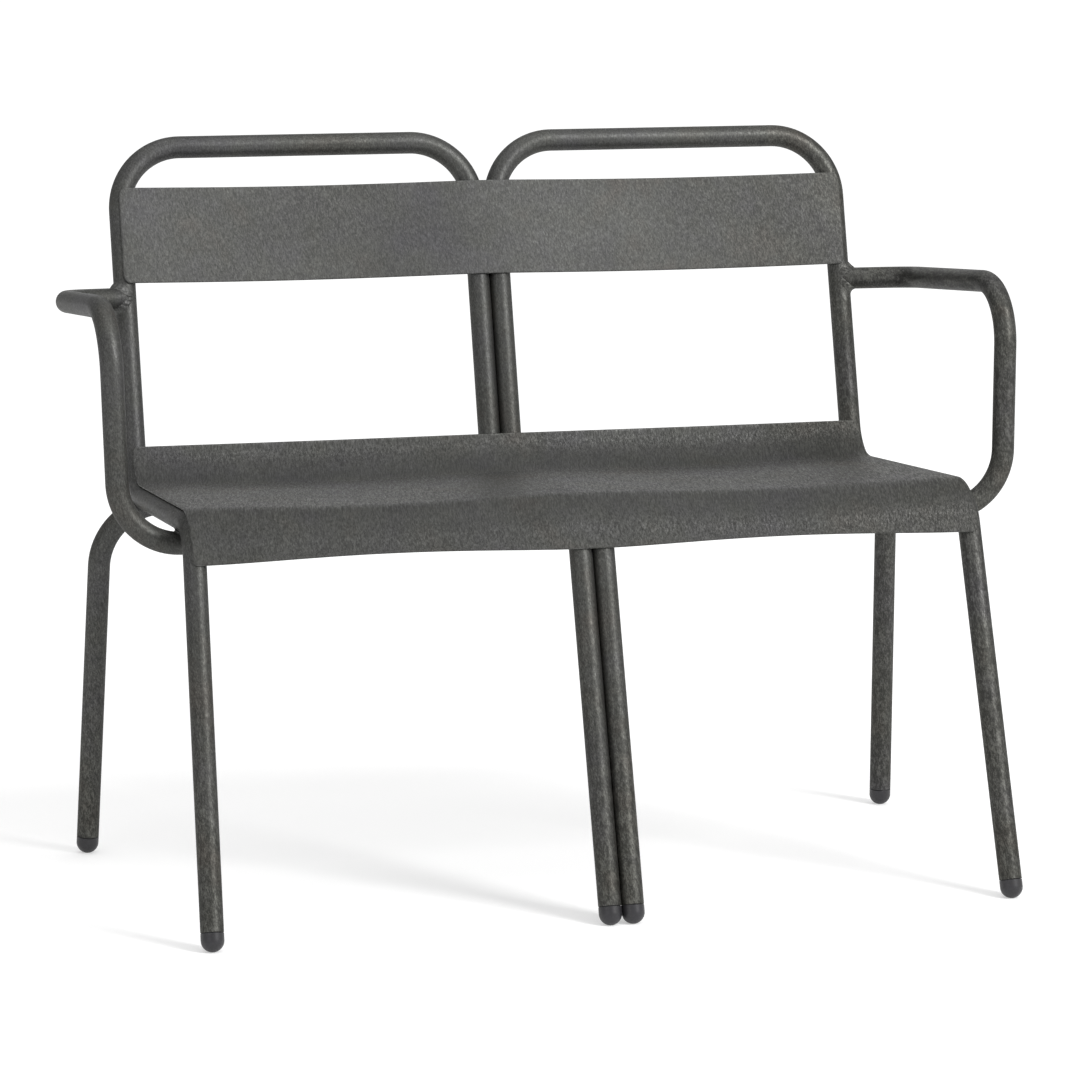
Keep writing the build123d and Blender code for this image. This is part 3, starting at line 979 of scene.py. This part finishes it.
def buildStitches(name, places, run, normal):
    middles = np.array([middle for middle, _ in places])[:, None]
    beside = np.array([inward for _, inward in places])[:, None] * [1, 0, 0]
    share = np.linspace(-1, 1, stitchWeld["along"])
    ripple = stitchWeld["ripple"] * np.cos(math.pi * stitchWeld["ripples"] * share)
    thick = np.sqrt(1 - share ** 4) * (stitchWeld["radius"] + ripple)
    line = run * (share * stitchWeld["length"] / 2)[:, None]
    centres = middles + line + (beside * stitchWeld["beside"])[:, None] + normal * stitchWeld["towards"]
    spokes = ring(beside[:, None], normal, fullTurn(stitchWeld["around"]))
    points = centres[:, :, None] + spokes[:, None] * thick[:, None, None]
    flips = [1 if np.dot(np.cross(normal, inward), run) > 0 else -1 for inward in beside]
    grids = zip(numbered(points), flips)
    quads = np.concatenate([gridQuads(grid, False, True)[:, ::flip] for grid, flip in grids])
    return makePiece(name, points, quads, "tube_coat")


# points on an outer and an inner tube and their mirror images, each with the sign of its way along X to the
# middle of its seat
def tubePlaces(shares, rearX, frontX, rear, front):
    places = []
    for share in shares:
        y, z = np.array(rear) + (np.array(front) - np.array(rear)) * share
        for x, inward in ((rearX + (frontX - rearX) * share, -1), (bench["innerX"], 1)):
            places += [(np.array([x, y, z]), inward), (np.array([-x, y, z]), -inward)]
    return places


backLow, backHigh = (onUpright(0, backSheet[key])[1:] for key in ("bottom", "top"))
backPlaces = tubePlaces(stitchWeld["backShares"], bench["uprightX"], bench["uprightX"], backLow, backHigh)
buildStitches("backStitches", backPlaces, uprightRun, uprightFront)
seatRun = at(0, sideVector("seatRear", "knee"))
seatPlaces = tubePlaces(
    stitchWeld["seatShares"], bench["uprightX"], bench["kneeX"], bench["seatRear"], bench["knee"])
buildStitches("seatStitches", seatPlaces, seatRun, np.array([0, seatRun[2], -seatRun[1]]))
print("welds ready")


# Studio

panels = {                         # power, place, and width and height of each soft light
    "key": (264.0, (2.82, -3.96, 3.75), (1.5, 3.0)),
    "back": (12.0, (0.9, 3.1, 2.0), (2.6, 2.6)),
    "fill": (14.0, (-3.4, -3.0, 1.3), (2.0, 2.0)),
    "top": (36.0, (0, -0.2, 4.0), (3.0, 3.0)),
}
studio = {
    "worldLight": 0.6,
    "aim": (0, 0, 0.45),           # what the panels face
    "floor": 0.68,
    "floorGlow": (0.42, 0.66),     # whitens the floor to the camera and in reflections, near and far
    "floorReach": (1.0, 6.0),      # where near ends and far begins
    "floorSize": 120.0,
}


def addPanel(name, power, place, size):
    lamp = bpy.data.lights.new(name + "Light", "AREA")
    lamp.energy = power
    lamp.shape = "RECTANGLE"
    lamp.size, lamp.size_y = size
    lampObject = bpy.data.objects.new(name + "Light", lamp)
    lampObject.location = place
    towardsLamp = lampObject.location - Vector(studio["aim"])
    lampObject.rotation_mode = "QUATERNION"
    lampObject.rotation_quaternion = towardsLamp.to_track_quat("Z", "Y")
    bpy.context.scene.collection.objects.link(lampObject)


for name, settings in panels.items():
    addPanel(name, *settings)

world = bpy.data.worlds.new("studioWorld")
world.use_nodes = True
world.node_tree.nodes["Background"].inputs["Color"].default_value = (1, 1, 1, 1)
world.node_tree.nodes["Background"].inputs["Strength"].default_value = studio["worldLight"]
bpy.context.scene.world = world


def floorMaterial():
    material = bpy.data.materials.new("paleFloor")
    material.use_nodes = True
    tree = material.node_tree
    tree.nodes.remove(tree.nodes["Principled BSDF"])
    matte = addNode(tree, "ShaderNodeBsdfDiffuse", {"Color": (studio["floor"],) * 3 + (1,)})
    path = addNode(tree, "ShaderNodeLightPath").outputs
    seen = path["Is Camera Ray"]
    for ray in ("Is Glossy Ray", "Is Transmission Ray"):
        seen = maths(tree, "MAXIMUM", seen, path[ray])
    here = addNode(tree, "ShaderNodeTexCoord").outputs["Object"]
    away = addNode(tree, "ShaderNodeVectorMath", {0: here}, operation="LENGTH").outputs["Value"]
    level = ranged(tree, away, studio["floorReach"], studio["floorGlow"])
    strength = maths(tree, "MULTIPLY", seen, level)
    glow = addNode(tree, "ShaderNodeEmission", {"Color": (1, 1, 1, 1), "Strength": strength})
    both = addNode(tree, "ShaderNodeAddShader", {0: matte.outputs[0], 1: glow.outputs[0]})
    tree.links.new(both.outputs[0], tree.nodes["Material Output"].inputs["Surface"])
    return material


reach = studio["floorSize"] / 2
floorCorners = [(-reach, -reach, 0), (reach, -reach, 0), (reach, reach, 0), (-reach, reach, 0)]
floorMesh = bpy.data.meshes.new("floor")
floorMesh.from_pydata(floorCorners, [], [(0, 1, 2, 3)])
floorMesh.materials.append(floorMaterial())
floor = bpy.data.objects.new("floor", floorMesh)
bpy.context.scene.collection.objects.link(floor)

view = {
    "aim": (-0.017, -0.0265, 0.378),
    "azimuth": math.radians(-16.24),
    "elevation": math.radians(8.71),
    "distance": 5.198,
    "lens": 156.7,
    "sensor": 36.0,
    "clipEnd": 200.0,
}


def fromAngles(azimuth, elevation):
    level = math.cos(elevation)
    return Vector((math.sin(azimuth) * level, -math.cos(azimuth) * level, math.sin(elevation)))


camera = bpy.data.objects.new("camera", bpy.data.cameras.new("camera"))
towardsCamera = fromAngles(view["azimuth"], view["elevation"])
camera.location = Vector(view["aim"]) + towardsCamera * view["distance"]
camera.rotation_mode = "QUATERNION"
camera.rotation_quaternion = towardsCamera.to_track_quat("Z", "Y")
camera.data.lens = view["lens"]
camera.data.sensor_width = view["sensor"]
camera.data.clip_end = view["clipEnd"]
bpy.context.scene.collection.objects.link(camera)
bpy.context.scene.camera = camera
bpy.context.scene.view_settings.view_transform = "Standard"
print("studio ready")
